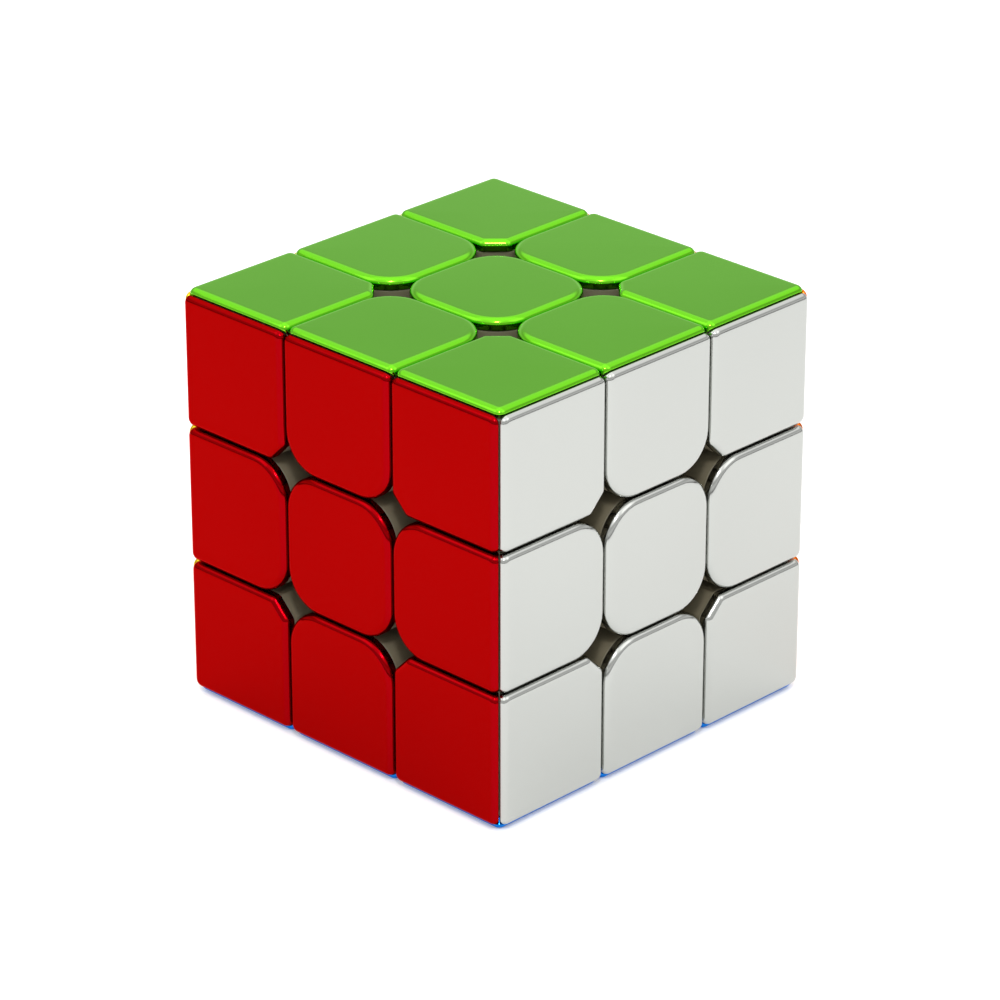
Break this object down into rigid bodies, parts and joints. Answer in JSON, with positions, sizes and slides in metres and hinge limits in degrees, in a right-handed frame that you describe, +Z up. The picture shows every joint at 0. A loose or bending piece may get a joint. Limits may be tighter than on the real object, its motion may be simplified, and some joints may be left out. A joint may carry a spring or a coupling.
{
  "type": "twisty puzzle cube",
  "caption": "Twisty puzzle cube, three layers each way, whose six plated faces each turn about a sprung centre on a six-armed core.",
  "frame": {"origin": "middle of the core, which is the middle of the cube", "axes": "+Z up through the green face, +X through the silver face, -Y through the red face"},
  "size_m": [0.056, 0.056, 0.056],
  "materials": {
    "core_plastic": "satin",
    "screw_steel": "satin",
    "spring_steel": "polished",
    "block_plastic": "semi-gloss",
    "plated_green": "plated",
    "plated_blue": "plated",
    "plated_silver": "plated",
    "plated_gold": "plated",
    "plated_orange": "plated",
    "plated_red": "plated"
  },
  "bodies": {
    "core": {"core": "core_plastic", "screws": "screw_steel"},
    "rotor_up": {"spring_up": "spring_steel"},
    "rotor_down": {"spring_down": "spring_steel"},
    "rotor_right": {"spring_right": "spring_steel"},
    "rotor_left": {"spring_left": "spring_steel"},
    "rotor_back": {"spring_back": "spring_steel"},
    "rotor_front": {"spring_front": "spring_steel"},
    "centre_up": {"centre_up_base": "block_plastic", "centre_up_cap": "plated_green"},
    "centre_down": {"centre_down_base": "block_plastic", "centre_down_cap": "plated_blue"},
    "centre_right": {"centre_right_base": "block_plastic", "centre_right_cap": "plated_silver"},
    "centre_left": {"centre_left_base": "block_plastic", "centre_left_cap": "plated_gold"},
    "centre_back": {"centre_back_base": "block_plastic", "centre_back_cap": "plated_orange"},
    "centre_front": {"centre_front_base": "block_plastic", "centre_front_cap": "plated_red"},
    "edge_down_front": {"edge_down_front_base": "block_plastic", "edge_down_front_caps": "plated_blue"},
    "edge_down_back": {"edge_down_back_base": "block_plastic", "edge_down_back_caps": "plated_blue"},
    "edge_up_front": {"edge_up_front_base": "block_plastic", "edge_up_front_caps": "plated_green"},
    "edge_up_back": {"edge_up_back_base": "block_plastic", "edge_up_back_caps": "plated_green"},
    "edge_down_left": {"edge_down_left_base": "block_plastic", "edge_down_left_caps": "plated_gold"},
    "edge_down_right": {"edge_down_right_base": "block_plastic", "edge_down_right_caps": "plated_silver"},
    "edge_up_left": {"edge_up_left_base": "block_plastic", "edge_up_left_caps": "plated_gold"},
    "edge_up_right": {"edge_up_right_base": "block_plastic", "edge_up_right_caps": "plated_silver"},
    "edge_front_left": {"edge_front_left_base": "block_plastic", "edge_front_left_caps": "plated_red"},
    "edge_front_right": {"edge_front_right_base": "block_plastic", "edge_front_right_caps": "plated_red"},
    "edge_back_left": {"edge_back_left_base": "block_plastic", "edge_back_left_caps": "plated_orange"},
    "edge_back_right": {"edge_back_right_base": "block_plastic", "edge_back_right_caps": "plated_orange"},
    "corner_down_front_left": {"corner_down_front_left_base": "block_plastic", "corner_down_front_left_caps": "plated_gold"},
    "corner_up_front_left": {"corner_up_front_left_base": "block_plastic", "corner_up_front_left_caps": "plated_gold"},
    "corner_down_back_left": {"corner_down_back_left_base": "block_plastic", "corner_down_back_left_caps": "plated_gold"},
    "corner_up_back_left": {"corner_up_back_left_base": "block_plastic", "corner_up_back_left_caps": "plated_gold"},
    "corner_down_front_right": {"corner_down_front_right_base": "block_plastic", "corner_down_front_right_caps": "plated_silver"},
    "corner_up_front_right": {"corner_up_front_right_base": "block_plastic", "corner_up_front_right_caps": "plated_silver"},
    "corner_down_back_right": {"corner_down_back_right_base": "block_plastic", "corner_down_back_right_caps": "plated_silver"},
    "corner_up_back_right": {"corner_up_back_right_base": "block_plastic", "corner_up_back_right_caps": "plated_silver"}
  },
  "joints": [
    {"name": "turn_up", "type": "hinge", "parent": "core", "child": "rotor_up", "pos_m": [0, 0, 0], "axis": [0, 0, 1], "continuous": true},
    {"name": "turn_down", "type": "hinge", "parent": "core", "child": "rotor_down", "pos_m": [0, 0, 0], "axis": [0, 0, 1], "continuous": true},
    {"name": "turn_right", "type": "hinge", "parent": "core", "child": "rotor_right", "pos_m": [0, 0, 0], "axis": [1, 0, 0], "continuous": true},
    {"name": "turn_left", "type": "hinge", "parent": "core", "child": "rotor_left", "pos_m": [0, 0, 0], "axis": [1, 0, 0], "continuous": true},
    {"name": "turn_back", "type": "hinge", "parent": "core", "child": "rotor_back", "pos_m": [0, 0, 0], "axis": [0, 1, 0], "continuous": true},
    {"name": "turn_front", "type": "hinge", "parent": "core", "child": "rotor_front", "pos_m": [0, 0, 0], "axis": [0, 1, 0], "continuous": true},
    {"name": "float_up", "type": "slide", "parent": "rotor_up", "child": "centre_up", "axis": [0, 0, 1], "range_m": [0, 0.0008], "stiffness_N_per_m": 500, "springref_m": -0.0006, "deforming": ["spring_up"]},
    {"name": "float_down", "type": "slide", "parent": "rotor_down", "child": "centre_down", "axis": [0, 0, -1], "range_m": [0, 0.0008], "stiffness_N_per_m": 500, "springref_m": -0.0006, "deforming": ["spring_down"]},
    {"name": "float_right", "type": "slide", "parent": "rotor_right", "child": "centre_right", "axis": [1, 0, 0], "range_m": [0, 0.0008], "stiffness_N_per_m": 500, "springref_m": -0.0006, "deforming": ["spring_right"]},
    {"name": "float_left", "type": "slide", "parent": "rotor_left", "child": "centre_left", "axis": [-1, 0, 0], "range_m": [0, 0.0008], "stiffness_N_per_m": 500, "springref_m": -0.0006, "deforming": ["spring_left"]},
    {"name": "float_back", "type": "slide", "parent": "rotor_back", "child": "centre_back", "axis": [0, 1, 0], "range_m": [0, 0.0008], "stiffness_N_per_m": 500, "springref_m": -0.0006, "deforming": ["spring_back"]},
    {"name": "float_front", "type": "slide", "parent": "rotor_front", "child": "centre_front", "axis": [0, -1, 0], "range_m": [0, 0.0008], "stiffness_N_per_m": 500, "springref_m": -0.0006, "deforming": ["spring_front"]},
    {"name": "edge_down_front_with_down", "type": "hinge", "parent": "rotor_front", "child": "edge_down_front", "pos_m": [0, 0, 0], "axis": [0, 0, 1], "continuous": true},
    {"name": "edge_down_back_with_down", "type": "hinge", "parent": "rotor_back", "child": "edge_down_back", "pos_m": [0, 0, 0], "axis": [0, 0, 1], "continuous": true},
    {"name": "edge_up_front_with_up", "type": "hinge", "parent": "rotor_front", "child": "edge_up_front", "pos_m": [0, 0, 0], "axis": [0, 0, 1], "continuous": true},
    {"name": "edge_up_back_with_up", "type": "hinge", "parent": "rotor_back", "child": "edge_up_back", "pos_m": [0, 0, 0], "axis": [0, 0, 1], "continuous": true},
    {"name": "edge_down_left_with_left", "type": "hinge", "parent": "rotor_down", "child": "edge_down_left", "pos_m": [0, 0, 0], "axis": [1, 0, 0], "continuous": true},
    {"name": "edge_down_right_with_right", "type": "hinge", "parent": "rotor_down", "child": "edge_down_right", "pos_m": [0, 0, 0], "axis": [1, 0, 0], "continuous": true},
    {"name": "edge_up_left_with_left", "type": "hinge", "parent": "rotor_up", "child": "edge_up_left", "pos_m": [0, 0, 0], "axis": [1, 0, 0], "continuous": true},
    {"name": "edge_up_right_with_right", "type": "hinge", "parent": "rotor_up", "child": "edge_up_right", "pos_m": [0, 0, 0], "axis": [1, 0, 0], "continuous": true},
    {"name": "edge_front_left_with_front", "type": "hinge", "parent": "rotor_left", "child": "edge_front_left", "pos_m": [0, 0, 0], "axis": [0, 1, 0], "continuous": true},
    {"name": "edge_front_right_with_front", "type": "hinge", "parent": "rotor_right", "child": "edge_front_right", "pos_m": [0, 0, 0], "axis": [0, 1, 0], "continuous": true},
    {"name": "edge_back_left_with_back", "type": "hinge", "parent": "rotor_left", "child": "edge_back_left", "pos_m": [0, 0, 0], "axis": [0, 1, 0], "continuous": true},
    {"name": "edge_back_right_with_back", "type": "hinge", "parent": "rotor_right", "child": "edge_back_right", "pos_m": [0, 0, 0], "axis": [0, 1, 0], "continuous": true},
    {"name": "corner_down_front_left_with_left", "type": "hinge", "parent": "edge_down_front", "child": "corner_down_front_left", "pos_m": [0, 0, 0], "axis": [1, 0, 0], "continuous": true},
    {"name": "corner_up_front_left_with_left", "type": "hinge", "parent": "edge_up_front", "child": "corner_up_front_left", "pos_m": [0, 0, 0], "axis": [1, 0, 0], "continuous": true},
    {"name": "corner_down_back_left_with_left", "type": "hinge", "parent": "edge_down_back", "child": "corner_down_back_left", "pos_m": [0, 0, 0], "axis": [1, 0, 0], "continuous": true},
    {"name": "corner_up_back_left_with_left", "type": "hinge", "parent": "edge_up_back", "child": "corner_up_back_left", "pos_m": [0, 0, 0], "axis": [1, 0, 0], "continuous": true},
    {"name": "corner_down_front_right_with_right", "type": "hinge", "parent": "edge_down_front", "child": "corner_down_front_right", "pos_m": [0, 0, 0], "axis": [1, 0, 0], "continuous": true},
    {"name": "corner_up_front_right_with_right", "type": "hinge", "parent": "edge_up_front", "child": "corner_up_front_right", "pos_m": [0, 0, 0], "axis": [1, 0, 0], "continuous": true},
    {"name": "corner_down_back_right_with_right", "type": "hinge", "parent": "edge_down_back", "child": "corner_down_back_right", "pos_m": [0, 0, 0], "axis": [1, 0, 0], "continuous": true},
    {"name": "corner_up_back_right_with_right", "type": "hinge", "parent": "edge_up_back", "child": "corner_up_back_right", "pos_m": [0, 0, 0], "axis": [1, 0, 0], "continuous": true}
  ],
  "couplings": [
    {"joint": "edge_down_front_with_down", "follows": "turn_down", "ratio": 1},
    {"joint": "edge_down_back_with_down", "follows": "turn_down", "ratio": 1},
    {"joint": "edge_up_front_with_up", "follows": "turn_up", "ratio": 1},
    {"joint": "edge_up_back_with_up", "follows": "turn_up", "ratio": 1},
    {"joint": "edge_down_left_with_left", "follows": "turn_left", "ratio": 1},
    {"joint": "edge_down_right_with_right", "follows": "turn_right", "ratio": 1},
    {"joint": "edge_up_left_with_left", "follows": "turn_left", "ratio": 1},
    {"joint": "edge_up_right_with_right", "follows": "turn_right", "ratio": 1},
    {"joint": "edge_front_left_with_front", "follows": "turn_front", "ratio": 1},
    {"joint": "edge_front_right_with_front", "follows": "turn_front", "ratio": 1},
    {"joint": "edge_back_left_with_back", "follows": "turn_back", "ratio": 1},
    {"joint": "edge_back_right_with_back", "follows": "turn_back", "ratio": 1},
    {"joint": "corner_down_front_left_with_left", "follows": "turn_left", "ratio": 1},
    {"joint": "corner_up_front_left_with_left", "follows": "turn_left", "ratio": 1},
    {"joint": "corner_down_back_left_with_left", "follows": "turn_left", "ratio": 1},
    {"joint": "corner_up_back_left_with_left", "follows": "turn_left", "ratio": 1},
    {"joint": "corner_down_front_right_with_right", "follows": "turn_right", "ratio": 1},
    {"joint": "corner_up_front_right_with_right", "follows": "turn_right", "ratio": 1},
    {"joint": "corner_down_back_right_with_right", "follows": "turn_right", "ratio": 1},
    {"joint": "corner_up_back_right_with_right", "follows": "turn_right", "ratio": 1}
  ]
}
